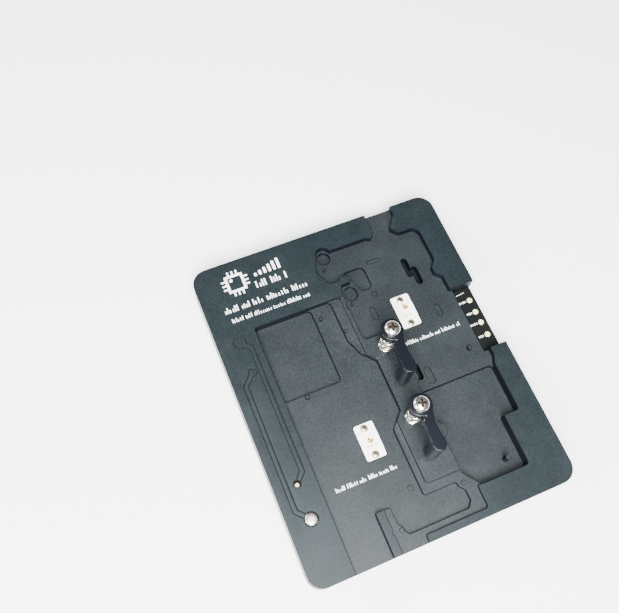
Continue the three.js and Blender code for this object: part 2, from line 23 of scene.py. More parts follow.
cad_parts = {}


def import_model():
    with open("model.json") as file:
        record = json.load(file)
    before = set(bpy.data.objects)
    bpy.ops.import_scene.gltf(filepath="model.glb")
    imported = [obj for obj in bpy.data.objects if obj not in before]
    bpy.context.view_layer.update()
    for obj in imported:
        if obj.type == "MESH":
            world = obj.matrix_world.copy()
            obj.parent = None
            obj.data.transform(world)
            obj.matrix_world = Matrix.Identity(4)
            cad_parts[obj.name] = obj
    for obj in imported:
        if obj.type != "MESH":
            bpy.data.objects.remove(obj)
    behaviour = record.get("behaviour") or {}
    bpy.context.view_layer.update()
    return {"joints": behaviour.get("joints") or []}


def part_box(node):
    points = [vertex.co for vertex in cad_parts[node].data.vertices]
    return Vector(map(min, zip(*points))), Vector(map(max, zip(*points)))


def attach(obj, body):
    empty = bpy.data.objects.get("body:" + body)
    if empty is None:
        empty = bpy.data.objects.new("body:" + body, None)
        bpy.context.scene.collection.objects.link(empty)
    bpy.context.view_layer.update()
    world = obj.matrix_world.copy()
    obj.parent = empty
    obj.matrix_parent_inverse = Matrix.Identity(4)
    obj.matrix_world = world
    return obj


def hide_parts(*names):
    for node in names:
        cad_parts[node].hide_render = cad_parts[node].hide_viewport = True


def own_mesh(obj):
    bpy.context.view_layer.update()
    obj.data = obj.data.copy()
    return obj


LOG = logging.getLogger("programmer")
MM = 0.001
FULL_TURN = 2 * math.pi
SMOOTH_ANGLE = math.radians(32)
TINY = 1e-6
MERGE = 3e-5
SHARP = math.radians(60)
ROUNDED_ANGLE = math.radians(30)
FLAT_ANGLE = math.radians(1)
ARC_STEPS = 28


class Body(Enum):
    """Rigid bodies of the frame that pieces ride on."""

    BASE = "base"
    BUTTON = "button"


class Level(Enum):
    """Depths below the plate's rim of the faces that are printed on, in millimetres."""

    RIM = 0.0
    LEFT_FLOOR = 3.2
    RIGHT_FLOOR = 3.4


@dataclass(frozen=True)
class Upright:
    """The room that an upright round node of the frame takes up.

    Args:
        base: Middle of its underside, in metres.
        radius: Its radius in millimetres.
        height: Its height in millimetres.
    """

    base: Vector
    radius: float
    height: float

    @classmethod
    def of(cls, node: str) -> "Upright":
        """Read a node's room from the frame."""
        low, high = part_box(node)
        base = Vector(((low.x + high.x) / 2, (low.y + high.y) / 2, low.z))
        return cls(base, (high.x - low.x) / 2 / MM, (high.z - low.z) / MM)


@dataclass(frozen=True)
class Plan:
    """Places on the plate, from its front left corner and up from its rim.

    Args:
        left: The plate's lowest x, in metres.
        front: The plate's lowest y, in metres.
        rim: The height of the plate's rim, in metres.
    """

    left: float
    front: float
    rim: float

    @classmethod
    def from_frame(cls) -> "Plan":
        """Read the plate's corner and rim from the frame."""
        low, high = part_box("top_plate")
        return cls(low.x, low.y, high.z)

    def at(self, x: float, y: float, z: float = 0.0) -> Vector:
        """Turn a plan position in millimetres into a point in metres."""
        return Vector((self.left + x * MM, self.front + y * MM, self.rim + z * MM))


# Shader building


class Shade:
    """One shader value that Python operators combine into Math nodes."""

    def __init__(self, paint: "Paint", socket: bpy.types.NodeSocket) -> None:
        """Wrap a node's output socket."""
        self.paint = paint
        self.socket = socket

    def math(self, operation: str, *values: "Shade | float") -> "Shade":
        """Add a Math node that works on the given values."""
        return self.paint.node("ShaderNodeMath", {"operation": operation}, values)

    def __add__(self, other: "Shade | float") -> "Shade":
        """Add."""
        return self.math("ADD", self, other)

    def __radd__(self, other: float) -> "Shade":
        """Add to a number."""
        return self.math("ADD", other, self)

    def __sub__(self, other: "Shade | float") -> "Shade":
        """Subtract."""
        return self.math("SUBTRACT", self, other)

    def __rsub__(self, other: float) -> "Shade":
        """Subtract from a number."""
        return self.math("SUBTRACT", other, self)

    def __mul__(self, other: "Shade | float") -> "Shade":
        """Multiply."""
        return self.math("MULTIPLY", self, other)

    def __rmul__(self, other: float) -> "Shade":
        """Multiply a number."""
        return self.math("MULTIPLY", other, self)

    def __truediv__(self, other: "Shade | float") -> "Shade":
        """Divide."""
        return self.math("DIVIDE", self, other)

    def ramp(self, low: float, high: float) -> "Shade":
        """Rise smoothly from 0 at low to 1 at high."""
        settings = {"interpolation_type": "SMOOTHSTEP"}
        return self.paint.node("ShaderNodeMapRange", settings, {0: self, 1: low, 2: high, 3: 0.0, 4: 1.0})


class Paint:
    """Builds one node material around a Principled shader."""

    def __init__(self, name: str) -> None:
        """Start an empty material with the given name."""
        self.material = bpy.data.materials.new(name)
        self.material.use_nodes = True
        self.tree = self.material.node_tree
        self.surface = self.tree.nodes["Principled BSDF"]

    def node(
        self,
        kind: str,
        settings: dict[str, object] | None = None,
        inputs: dict | Sequence | None = None,
        output: int | str = 0,
    ) -> Shade:
        """Add a node.

        Args:
            kind: The node's type.
            settings: Its own properties, which are set first.
            inputs: A value or a Shade for each input, by number, name or order.
            output: The output to wrap.

        Returns:
            The wrapped output.
        """
        made = self.tree.nodes.new(kind)
        for key, value in (settings or {}).items():
            setattr(made, key, value)
        given = inputs.items() if isinstance(inputs, dict) else enumerate(inputs or ())
        for key, value in given:
            if isinstance(value, Shade):
                self.tree.links.new(value.socket, made.inputs[key])
            else:
                made.inputs[key].default_value = value
        return Shade(self, made.outputs[output])

    def place(self) -> Shade:
        """Give Object coordinates."""
        return self.node("ShaderNodeTexCoord", output="Object")

    def noise(self, size_mm: float, detail: float = 2.0, roughness: float = 0.5) -> Shade:
        """Give cloudy noise from 0 to 1 whose features are about size_mm across."""
        scale = 1 / (size_mm * MM)
        inputs = {"Vector": self.place(), "Scale": scale, "Detail": detail, "Roughness": roughness}
        return self.node("ShaderNodeTexNoise", None, inputs)

    def rings(self, centre: Vector, size_mm: float) -> Shade:
        """Give lathe-turned rings around an upright axis through a point."""
        settings = {"wave_type": "RINGS", "rings_direction": "Z"}
        moved = self.node("ShaderNodeVectorMath", {"operation": "SUBTRACT"}, [self.place(), tuple(centre)])
        inputs = {"Vector": moved, "Scale": 1 / (size_mm * MM), "Distortion": 0.6, "Detail": 1.0}
        return self.node("ShaderNodeTexWave", settings, inputs)

    def blend(self, low: Sequence[float], high: Sequence[float], share: Shade) -> Shade:
        """Mix two colours by a share from 0 to 1."""
        inputs = {0: share, 6: (*low, 1.0), 7: (*high, 1.0)}
        return self.node("ShaderNodeMix", {"data_type": "RGBA"}, inputs, output=2)

    def bump(self, height: Shade, depth_mm: float, strength: float = 1.0) -> Shade:
        """Turn a height from 0 to 1 into a normal, for grain depth_mm deep."""
        inputs = {"Strength": strength, "Distance": depth_mm * MM, "Height": height}
        return self.node("ShaderNodeBump", None, inputs)

    def dress(self, **sockets: Shade | float | tuple) -> bpy.types.Material:
        """Set Principled inputs, with underscores for the spaces in their names.

        Args:
            sockets: A value or Shade for each input, such as Base_Color.

        Returns:
            The finished material.
        """
        for key, value in sockets.items():
            socket = self.surface.inputs[key.replace("_", " ")]
            if isinstance(value, Shade):
                self.tree.links.new(value.socket, socket)
            else:
                socket.default_value = value
        return self.material


def tint(colour: Sequence[float], factor: float) -> tuple[float, ...]:
    """Lighten or darken a colour by a factor."""
    return tuple(min(1.0, channel * factor) for channel in colour)


@dataclass(frozen=True)
class Finish:
    """A surface with fine grain, slow mottling and roughness that follows both.

    Args:
        name: The material's name.
        colour: Linear base colour.
        metallic: 1 for bare metal, 0 for anything else.
        roughness: Mean roughness.
        grain_mm: Size of the fine grain.
        grain_depth: Depth of the grain in the bump, in millimetres.
        speckle: How far the grain lightens and darkens the colour.
        mottle_mm: Size of the slow clouds.
        mottle: How far the clouds change colour and roughness.
        coat: Weight of a clear coat.
        specular: Strength of the plain reflection, 0.5 for ordinary resin.
    """

    name: str
    colour: tuple[float, float, float]
    metallic: float = 0.0
    roughness: float = 0.5
    grain_mm: float = 0.25
    grain_depth: float = 0.01
    speckle: float = 0.08
    mottle_mm: float = 9.0
    mottle: float = 0.08
    coat: float = 0.0
    specular: float = 0.5

    def material(self) -> bpy.types.Material:
        """Build the material, or give the one already built."""
        return cached_material(self)

    def paint(self) -> bpy.types.Material:
        """Build the node material."""
        paint = Paint(self.name)
        grain = paint.noise(self.grain_mm, detail=3.0, roughness=0.7)
        cloud = paint.noise(self.mottle_mm, detail=2.0)
        spread = self.speckle + self.mottle
        share = (grain - 0.5) * self.speckle / (spread + TINY)
        share = share + (cloud - 0.5) * self.mottle / (spread + TINY) + 0.5
        colour = paint.blend(tint(self.colour, 1 - spread * 2), tint(self.colour, 1 + spread * 2), share)
        rough = (cloud - 0.5) * self.mottle + (grain - 0.5) * self.speckle + self.roughness
        return paint.dress(
            Base_Color=colour,
            Roughness=rough,
            Metallic=self.metallic,
            Specular_IOR_Level=self.specular,
            Coat_Weight=self.coat,
            Coat_Roughness=0.12,
            Normal=paint.bump(grain, self.grain_depth),
        )


@lru_cache(maxsize=None)
def cached_material(finish: Finish) -> bpy.types.Material:
    """Build each finish once."""
    return finish.paint()


@dataclass(frozen=True)
class Anodised(Finish):
    """Bead-blasted and anodised aluminium: two sizes of grain and faint handling marks."""

    sparkle_mm: float = 0.55

    def paint(self) -> bpy.types.Material:
        """Build the node material."""
        paint = Paint(self.name)
        fine = paint.noise(self.grain_mm, detail=2.0, roughness=0.75)
        coarse = paint.noise(self.sparkle_mm, detail=2.0, roughness=0.6)
        cloud = paint.noise(self.mottle_mm, detail=3.0)
        grain = fine * 0.5 + coarse * 0.5
        share = (grain - 0.5) * 2.2 + (cloud - 0.5) * 0.5 + 0.5
        spread = self.speckle
        dark, light = tint(self.colour, 1 - spread), tint(self.colour, 1 + spread)
        colour = paint.blend(dark, light, share.ramp(0.0, 1.0))
        smears = paint.noise(22.0, detail=5.0, roughness=0.65).ramp(0.45, 0.7)
        rough = (grain - 0.5) * 0.25 + smears * self.mottle + (self.roughness - self.mottle * 0.5)
        return paint.dress(
            Base_Color=colour,
            Roughness=rough,
            Metallic=self.metallic,
            Specular_IOR_Level=self.specular,
            Normal=paint.bump(grain, self.grain_depth, 0.8),
        )


@dataclass(frozen=True)
class TurnedMetal(Finish):
    """Plated metal turned on a lathe: fine rings around an upright axis."""

    centre: tuple[float, float, float] = (0.0, 0.0, 0.0)
    ring_mm: float = 0.3

    def paint(self) -> bpy.types.Material:
        """Build the node material."""
        paint = Paint(self.name)
        rings = paint.rings(Vector(self.centre), self.ring_mm)
        cloud = paint.noise(self.mottle_mm, detail=3.0)
        grain = paint.noise(self.grain_mm, detail=3.0)
        share = rings * 0.3 + cloud * 0.5 + grain * 0.2
        spread = self.mottle * 2
        colour = paint.blend(tint(self.colour, 1 - spread), tint(self.colour, 1 + spread), share)
        return paint.dress(
            Base_Color=colour,
            Roughness=(share - 0.5) * self.speckle * 2 + self.roughness,
            Metallic=self.metallic,
            Specular_IOR_Level=self.specular,
            Normal=paint.bump(rings * 0.5 + grain * 0.5, self.grain_depth),
        )


@dataclass(frozen=True)
class SolderMask(Finish):
    """Glossy solder mask with the copper tracks under it just showing."""

    track_mm: float = 1.1

    def paint(self) -> bpy.types.Material:
        """Build the node material."""
        paint = Paint(self.name)
        settings = {"wave_type": "BANDS", "bands_direction": "X", "wave_profile": "SIN"}
        scale = 1 / (self.track_mm * MM * 3)
        inputs = {"Vector": paint.place(), "Scale": scale, "Distortion": 4.0, "Detail": 0.0}
        tracks = paint.node("ShaderNodeTexWave", settings, inputs).ramp(0.72, 0.8)
        grain = paint.noise(self.grain_mm, detail=3.0)
        colour = paint.blend(self.colour, tint(self.colour, 1.9), tracks * 0.6 + grain * 0.4)
        return paint.dress(
            Base_Color=colour,
            Roughness=(grain - 0.5) * 0.15 + self.roughness,
            Specular_IOR_Level=self.specular,
            Coat_Weight=self.coat,
            Normal=paint.bump(tracks * 0.8 + grain * 0.2, self.grain_depth),
        )


@dataclass(frozen=True)
class Lens(Finish):
    """Cloudy resin of a lamp that glows a little."""

    glow: float = 0.35

    def paint(self) -> bpy.types.Material:
        """Build the node material."""
        paint = Paint(self.name)
        cloud = paint.noise(0.8, detail=2.0)
        colour = paint.blend(tint(self.colour, 0.8), tint(self.colour, 1.1), cloud)
        paint.surface.inputs["Emission Strength"].default_value = self.glow
        return paint.dress(
            Base_Color=colour,
            Emission_Color=colour,
            Roughness=cloud * 0.1 + self.roughness,
            Coat_Weight=self.coat,
            Normal=paint.bump(cloud, 0.01),
        )


PLATE_GRAIN = {"speckle": 0.5, "mottle_mm": 14.0, "mottle": 0.10, "sparkle_mm": 0.8}
PLATE_FACE = Anodised(
    "anodised_face", (0.0072, 0.0122, 0.0142), 0.3, 0.42, 0.35, 0.02, specular=0.34, **PLATE_GRAIN
)
PLATE_FLOOR = Anodised(
    "anodised_floor", (0.0125, 0.0165, 0.0185), 0.3, 0.42, 0.35, 0.02, specular=0.38, **PLATE_GRAIN
)
# Painted shade: a darker copy of the anodised finish for the inner pocket walls and the broken edges.
PLATE_WALL_SHADE = Anodised(
    "anodised_wall_painted_shade", (0.0016, 0.0028, 0.006), 0.15, 0.5, 0.3, 0.01, 0.25, 10.0, 0.06, specular=0.12
)
# Painted shade: the engraved grooves are coloured dark and dull.
ENGRAVING_SHADE = Finish("engraved_line_painted_shade", (0.003, 0.004, 0.006), 0.0, 0.6, specular=0.1)
COVER_PLASTIC = Finish(
    "cover_plastic", (0.008, 0.009, 0.011), 0.0, 0.55, 0.35, 0.03, 0.15, 12.0, 0.08, specular=0.3
)
BOARD_MASK = SolderMask("solder_mask", (0.0025, 0.003, 0.003), 0.0, 0.5, 0.3, 0.01, coat=0.02, specular=0.12)
BOARD_EDGE = Finish("laminate_edge", (0.05, 0.045, 0.028), 0.0, 0.7, 0.2, 0.03, 0.3)
WHITE_PLASTIC = Finish("white_nylon", (0.92, 0.92, 0.89), 0.0, 0.42, 0.3, 0.006, 0.01, 4.0, 0.01)
# Painted shade: a darker tan copy of the white nylon for the probe blocks' upright walls.
NYLON_WALL_SHADE = Finish("nylon_wall_painted_shade", (0.55, 0.47, 0.3), 0.0, 0.5, 0.3, 0.006, 0.05, 2.0, 0.05)
# Painted shadow for the insides of the screws' cross recesses.
RECESS_SHADOW = Finish("recess_shadow", (0.05, 0.04, 0.025), 0.9, 0.5, 0.2, 0.006, 0.1, 1.0, 0.1)
WHITE_INK = Finish("white_ink", (0.8, 0.81, 0.8), 0.0, 0.55, 0.2, 0.004, 0.05, 3.0, 0.05)
GOLD = Finish("gold_plate", (0.86, 0.62, 0.25), 1.0, 0.26, 0.15, 0.004, 0.05, 1.5, 0.08)
PAD_GOLD = Finish("pad_gold", (1.0, 0.84, 0.42), 0.15, 0.4, 0.3, 0.01, 0.06, 1.2, 0.08)
NICKEL = Finish("bright_nickel", (0.66, 0.63, 0.56), 1.0, 0.2, 0.2, 0.004, 0.04, 2.0, 0.08)
BRONZED_NICKEL = Finish("bronzed_nickel", (0.5, 0.44, 0.33), 1.0, 0.3, 0.2, 0.004, 0.06, 1.0, 0.12)
ZINC = Finish("zinc_plate", (0.36, 0.37, 0.39), 1.0, 0.34, 0.25, 0.006, 0.06, 2.0, 0.1)
LEVER_BLACK = Finish(
    "lever_black", (0.0018, 0.0026, 0.0048), 0.0, 0.3, 0.4, 0.008, 0.12, 5.0, 0.08, coat=0.05, specular=0.2
)
RUBBER = Finish("foot_rubber", (0.016, 0.016, 0.018), 0.0, 0.85, 0.3, 0.03, 0.2, 4.0, 0.08)
CHIP_EPOXY = Finish("chip_epoxy", (0.02, 0.02, 0.021), 0.0, 0.5, 0.2, 0.015, 0.2, 2.0, 0.08)
SWITCH_PLASTIC = Finish("switch_plastic", (0.012, 0.013, 0.015), 0.0, 0.35, 0.3, 0.01, 0.1, 2.0, 0.05)
LAMP_RESIN = Lens("lamp_resin", (0.9, 0.76, 0.5), 0.0, 0.25, coat=0.5)
STUDIO_FLOOR = Finish("studio_floor", (0.93, 0.93, 0.93), 0.0, 0.9, 3.0, 0.02, 0.004, 150.0, 0.01)


# Modelling by hand


def deselect() -> None:
    """Leave edit mode and select nothing."""
    if bpy.context.object and bpy.context.object.mode != "OBJECT":
        bpy.ops.object.mode_set(mode="OBJECT")
    bpy.ops.object.select_all(action="DESELECT")


def focus(piece: bpy.types.Object) -> None:
    """Select one object alone and make it active."""
    deselect()
    piece.select_set(True)
    bpy.context.view_layer.objects.active = piece


@contextmanager
def editing(piece: bpy.types.Object, select: str = "SELECT") -> Iterator[None]:
    """Open edit mode on a piece, with everything selected or nothing."""
    focus(piece)
    bpy.ops.object.mode_set(mode="EDIT")
    bpy.ops.mesh.select_mode(type="VERT")
    bpy.ops.mesh.select_all(action=select)
    yield
    bpy.ops.object.mode_set(mode="OBJECT")


def pick_faces(piece: bpy.types.Object, wanted: Callable[[bmesh.types.BMFace], bool]) -> None:
    """In edit mode, select the faces that a test accepts."""
    bpy.ops.mesh.select_mode(type="FACE")
    bpy.ops.mesh.select_all(action="DESELECT")
    shape = bmesh.from_edit_mesh(piece.data)
    for face in shape.faces:
        face.select_set(wanted(face))
    bmesh.update_edit_mesh(piece.data)


def cover(piece: bpy.types.Object, *finishes: Finish) -> bpy.types.Object:
    """Give a piece these finishes, in the order of its material indices."""
    piece.data.materials.clear()
    for finish in finishes:
        piece.data.materials.append(finish.material())
    return piece


def pick_edges(piece: bpy.types.Object, wanted: Callable[[bmesh.types.BMEdge], bool]) -> None:
    """In edit mode, select the edges that a test accepts."""
    bpy.ops.mesh.select_mode(type="EDGE")
    shape = bmesh.from_edit_mesh(piece.data)
    for edge in shape.edges:
        edge.select_set(wanted(edge))
    bmesh.update_edit_mesh(piece.data)


def settle(piece: bpy.types.Object, name: str, finish: Finish | None = None) -> bpy.types.Object:
    """Put a piece's place into its mesh, name it, smooth it and give it a finish if it has none."""
    focus(piece)
    bpy.ops.object.transform_apply(location=True, rotation=True, scale=True)
    piece.name = name
    piece.data.name = name
    if finish and not piece.data.materials:
        cover(piece, finish)
    bpy.ops.object.shade_smooth_by_angle(angle=SMOOTH_ANGLE)
    apply_modifier(piece, "WEIGHTED_NORMAL", keep_sharp=True, weight=80)
    return piece


def apply_modifier(piece: bpy.types.Object, kind: str, **settings: object) -> None:
    """Add a modifier with these settings and apply it."""
    focus(piece)
    modifier = piece.modifiers.new(kind.lower(), kind)
    for key, value in settings.items():
        setattr(modifier, key, value)
    bpy.ops.object.modifier_apply(modifier=modifier.name)


def round_edges(piece: bpy.types.Object, width_mm: float, segments: int) -> None:
    """Round every edge that isn't nearly flat."""
    apply_modifier(
        piece,
        "BEVEL",
        width=width_mm * MM,
        segments=segments,
        limit_method="ANGLE",
        angle_limit=ROUNDED_ANGLE,
        use_clamp_overlap=False,
        miter_outer="MITER_ARC",
    )


def cut_out(piece: bpy.types.Object, tool: bpy.types.Object, solver: str = "EXACT") -> None:
    """Cut a tool out of a piece, whose new faces keep the tool's finish, and remove the tool."""
    apply_modifier(
        piece, "BOOLEAN", operation="DIFFERENCE", object=tool, solver=solver, material_mode="TRANSFER"
    )
    bpy.data.objects.remove(tool, do_unlink=True)


def join(pieces: Sequence[bpy.types.Object]) -> bpy.types.Object:
    """Join objects into the first one."""
    deselect()
    for piece in pieces:
        piece.select_set(True)
    bpy.context.view_layer.objects.active = pieces[0]
    bpy.ops.object.join()
    return pieces[0]


def copy_of(node: str) -> bpy.types.Object:
    """Copy a frame node's mesh into a new object with its doubles merged and flat faces joined."""
    source = bpy.data.objects[node]
    piece = bpy.data.objects.new(f"{node}_copy", source.data.copy())
    bpy.context.scene.collection.objects.link(piece)
    piece.data.materials.clear()
    with editing(piece):
        bpy.ops.mesh.remove_doubles(threshold=MERGE)
        bpy.ops.mesh.dissolve_limited(angle_limit=FLAT_ANGLE)
    return piece


def turned(profile: Sequence[tuple[float, float]], centre: Vector, steps: int = 48) -> bpy.types.Object:
    """Spin a profile round an upright axis.

    Args:
        profile: Radius and height of each point in millimetres, from the axis and the centre.
        centre: The axis's place, in metres.
        steps: Steps in a full turn.

    Returns:
        A closed round piece.
    """
    points = [centre + Vector((radius * MM, 0.0, height * MM)) for radius, height in profile]
    deselect()
    bpy.ops.mesh.primitive_plane_add(size=MM, location=points[0])
    piece = bpy.context.object
    with editing(piece):
        bpy.ops.mesh.merge(type="CENTER")
        for start, end in zip(points, points[1:]):
            bpy.ops.mesh.extrude_vertices_move(TRANSFORM_OT_translate={"value": end - start})
        bpy.ops.mesh.select_all(action="SELECT")
        bpy.ops.mesh.spin(steps=steps, angle=FULL_TURN, center=centre, axis=(0, 0, 1))
        bpy.ops.mesh.select_all(action="SELECT")
        bpy.ops.mesh.remove_doubles(threshold=TINY)
        bpy.ops.mesh.normals_make_consistent(inside=False)
    return piece


def dome(radius: float, height: float, base: float, steps: int = 8) -> list[tuple[float, float]]:
    """Give profile points of a dome from its rim up to the axis, in millimetres."""
    angles = [step / steps * math.pi / 2 for step in range(steps + 1)]
    return [(radius * math.cos(angle), base + height * math.sin(angle)) for angle in angles]


def slab(centre: Vector, width: float, length: float, height: float, corner: float = 0.0) -> bpy.types.Object:
    """Make an upright block with rounded corners.

    Args:
        centre: Middle of its underside, in metres.
        width: Size along x in millimetres.
        length: Size along y in millimetres.
        height: Size along z in millimetres.
        corner: Radius of the upright corners in millimetres.

    Returns:
        The closed block.
    """
    deselect()
    bpy.ops.mesh.primitive_plane_add(size=1.0, location=centre)
    piece = bpy.context.object
    piece.scale = (width * MM, length * MM, 1.0)
    bpy.ops.object.transform_apply(location=True, rotation=True, scale=True)
    with editing(piece):
        if corner > 0:
            bpy.ops.mesh.bevel(offset=corner * MM, segments=5, affect="VERTICES")
        bpy.ops.mesh.select_all(action="SELECT")
        bpy.ops.mesh.extrude_region_move(TRANSFORM_OT_translate={"value": (0, 0, height * MM)})
        bpy.ops.mesh.select_all(action="SELECT")
        bpy.ops.mesh.normals_make_consistent(inside=False)
    return piece


def wire(points: Sequence[Vector], radius_mm: float, sides: int) -> bpy.types.Object:
    """Make a closed round wire along points.

    Args:
        points: The middle line, in metres.
        radius_mm: The wire's radius.
        sides: Bevel resolution of its section.

    Returns:
        The wire as a mesh.
    """
    curve = bpy.data.curves.new("wire", "CURVE")
    curve.dimensions = "3D"
    curve.bevel_depth = radius_mm * MM
    curve.bevel_resolution = sides
    curve.use_fill_caps = True
    spline = curve.splines.new("POLY")
    spline.points.add(len(points) - 1)
    for point, place in zip(spline.points, points):
        point.co = (*place, 1.0)
    piece = bpy.data.objects.new("wire", curve)
    bpy.context.scene.collection.objects.link(piece)
    focus(piece)
    bpy.ops.object.convert(target="MESH")
    piece = bpy.context.object
    with editing(piece):
        bpy.ops.mesh.remove_doubles(threshold=TINY)
    return piece


def hand_over(piece: bpy.types.Object, body: str, slot: str, *nodes: str) -> bpy.types.Object:
    """Let a finished piece ride on a body and stand for the nodes it replaces."""
    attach(piece, body)
    if nodes:
        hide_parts(*nodes)
    LOG.info("%s rides on %s with %d faces", piece.name, body, len(piece.data.polygons))
    return piece


def hand_over_copies(piece: bpy.types.Object, bodies: dict[str, str], slot: str) -> list[bpy.types.Object]:
    """Hand over a finished piece for one node, and a moved copy with its own mesh for each other.

    Args:
        piece: The finished piece, made in the first node's place.
        bodies: The body of each node that the piece stands for, by the node's name.
        slot: The record's slot for them all; not used.

    Returns:
        The piece and its copies, in the order of the nodes.
    """
    start, *others = [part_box(node)[0] for node in bodies]
    pieces = [piece]
    for place in others:
        copy = piece.copy()
        copy.data = piece.data.copy()
        copy.data.transform(Matrix.Translation(place - start))
        bpy.context.scene.collection.objects.link(copy)
        pieces.append(copy)
    for copy, (node, body) in zip(pieces, bodies.items()):
        copy.name = copy.data.name = f"{node}_finished"
        hand_over(copy, body, slot, node)
    return pieces


def refined(
    node: str, finish: Finish, width_mm: float, segments: int = 2, walls: Finish | None = None
) -> bpy.types.Object:
    """Copy a frame node with its edges rounded.

    Args:
        node: The node to copy.
        finish: Its finish.
        width_mm: Width of the rounded edges.
        segments: Steps across a rounded edge.
        walls: Another finish for its upright faces, painted shade on the probe blocks and the laminate's own
            colour on the board.

    Returns:
        The finished piece.
    """
    piece = cover(copy_of(node), finish, *([walls] if walls else []))
    if walls:
        paint_wall_shade_or_laminate(piece)
    round_edges(piece, width_mm, segments)
    return settle(piece, f"{node}_finished")


def paint_wall_shade_or_laminate(piece: bpy.types.Object, margin: float = 0.0) -> None:
    """Put the second finish on upright faces that lie a margin in metres inside the piece's outline: painted
    shade on the plate and the probe blocks, the laminate's own colour on the board.
    """
    xs, ys = zip(*((vertex.co.x, vertex.co.y) for vertex in piece.data.vertices))
    for face in piece.data.polygons:
        x, y, _ = face.center
        inner = min(xs) + margin <= x <= max(xs) - margin and min(ys) + margin <= y <= max(ys) - margin
        face.material_index = 1 if inner and abs(face.normal.z) < 0.5 else 0


# Sub-assemblies


@dataclass
class Track:
    """Outline of a track engraved in the rim: a round pad and a bent strip that leads to a hole.

    Args:
        pad: Centre of the round pad on the plan.
        pad_radius: Radius of the pad.
        route: Bends of the strip's middle line, after the pad.
        target: Centre of the hole that the strip ends at.
        target_radius: Distance from that centre at which the lines stop.
        half_width: Half of the strip's width.
    """

    pad: tuple[float, float]
    pad_radius: float
    route: list[tuple[float, float]]
    target: tuple[float, float]
    target_radius: float
    half_width: float = 1.0

    def side(self, sign: float) -> list[Vector]:
        """Give one edge of the strip, from the pad to the hole."""
        middle = [Vector(point) for point in (self.pad, *self.route, self.target)]
        ways = [(end - start).normalized() for start, end in zip(middle, middle[1:])]
        across = [Vector((-way.y, way.x)) * sign * self.half_width for way in ways]
        leave = math.sqrt(self.pad_radius**2 - self.half_width**2)
        edge = [middle[0] + ways[0] * leave + across[0]]
        for index in range(1, len(middle) - 1):
            bisector = across[index - 1] + across[index]
            edge.append(middle[index] + bisector * (2 * self.half_width**2 / bisector.length_squared))
        arrive = math.sqrt(self.target_radius**2 - self.half_width**2)
        edge.append(middle[-1] - ways[-1] * arrive + across[-1])
        return edge

    def outline(self) -> list[Vector]:
        """Give the whole line: down one edge, round the pad and along the other edge."""
        left, right = self.side(1.0), self.side(-1.0)
        pad = Vector(self.pad)
        start = math.atan2(*reversed(left[0] - pad))
        end = math.atan2(*reversed(right[0] - pad))
        sweep = (end - start) % FULL_TURN
        arc = []
        for step in range(1, ARC_STEPS):
            angle = start + sweep * step / ARC_STEPS
            arc.append(pad + Vector((math.cos(angle), math.sin(angle))) * self.pad_radius)
        return [*reversed(left), *arc, *right]


@dataclass
class FixturePlate:
    """The milled plate with its broken edges and inner pocket walls in painted shade, and engraved tracks
    whose grooves are painted shade.
    """

    plan: Plan
    edge: float = 0.22
    margin: float = 0.3
    line_radius: float = 0.24
    tracks: list[Track] = field(
        default_factory=lambda: [
            Track((10.0, 107.0), 2.8, [(14.0, 103.2), (14.0, 45.2)], (10.2, 41.2), 1.9),
            Track((10.3, 92.2), 1.8, [(5.4, 87.2), (5.4, 31.2)], (10.2, 26.3), 3.1),
        ]
    )

    def build(self) -> None:
        """Make the plate and hand it over."""
        plate = cover(copy_of("top_plate"), PLATE_FACE, PLATE_WALL_SHADE, PLATE_FLOOR)
        # The inner pocket walls take the second finish, which is painted shade.
        paint_wall_shade_or_laminate(plate, self.margin * MM)
        self.dress_floors(plate)
        with editing(plate, "DESELECT"):
            pick_edges(plate, lambda edge: edge.is_convex and edge.calc_face_angle(0.0) > SHARP)
            # The broken edges take the same painted shade, as thin dark lines of painted shadow.
            bpy.ops.mesh.bevel(offset=self.edge * MM, segments=2, material=1)
        for track in self.tracks:
            self.engrave(plate, track)
        settle(plate, "fixture_plate")
        hand_over(plate, Body.BASE.value, "anodised_plate", "top_plate")

    def dress_floors(self, plate: bpy.types.Object) -> None:
        """Give the milled floors below the rim a slightly lighter copy of the rim's finish."""
        rim = max(vertex.co.z for vertex in plate.data.vertices)
        for face in plate.data.polygons:
            if face.normal.z > 0.9 and face.center.z < rim - self.margin * MM:
                face.material_index = 2

    def engrave(self, plate: bpy.types.Object, track: Track) -> None:
        """Cut one track's outline into the rim, with the groove's faces in painted shade."""
        points = [self.plan.at(point.x, point.y) for point in track.outline()]
        cut_out(plate, cover(wire(points, self.line_radius, 1), ENGRAVING_SHADE), solver="MANIFOLD")


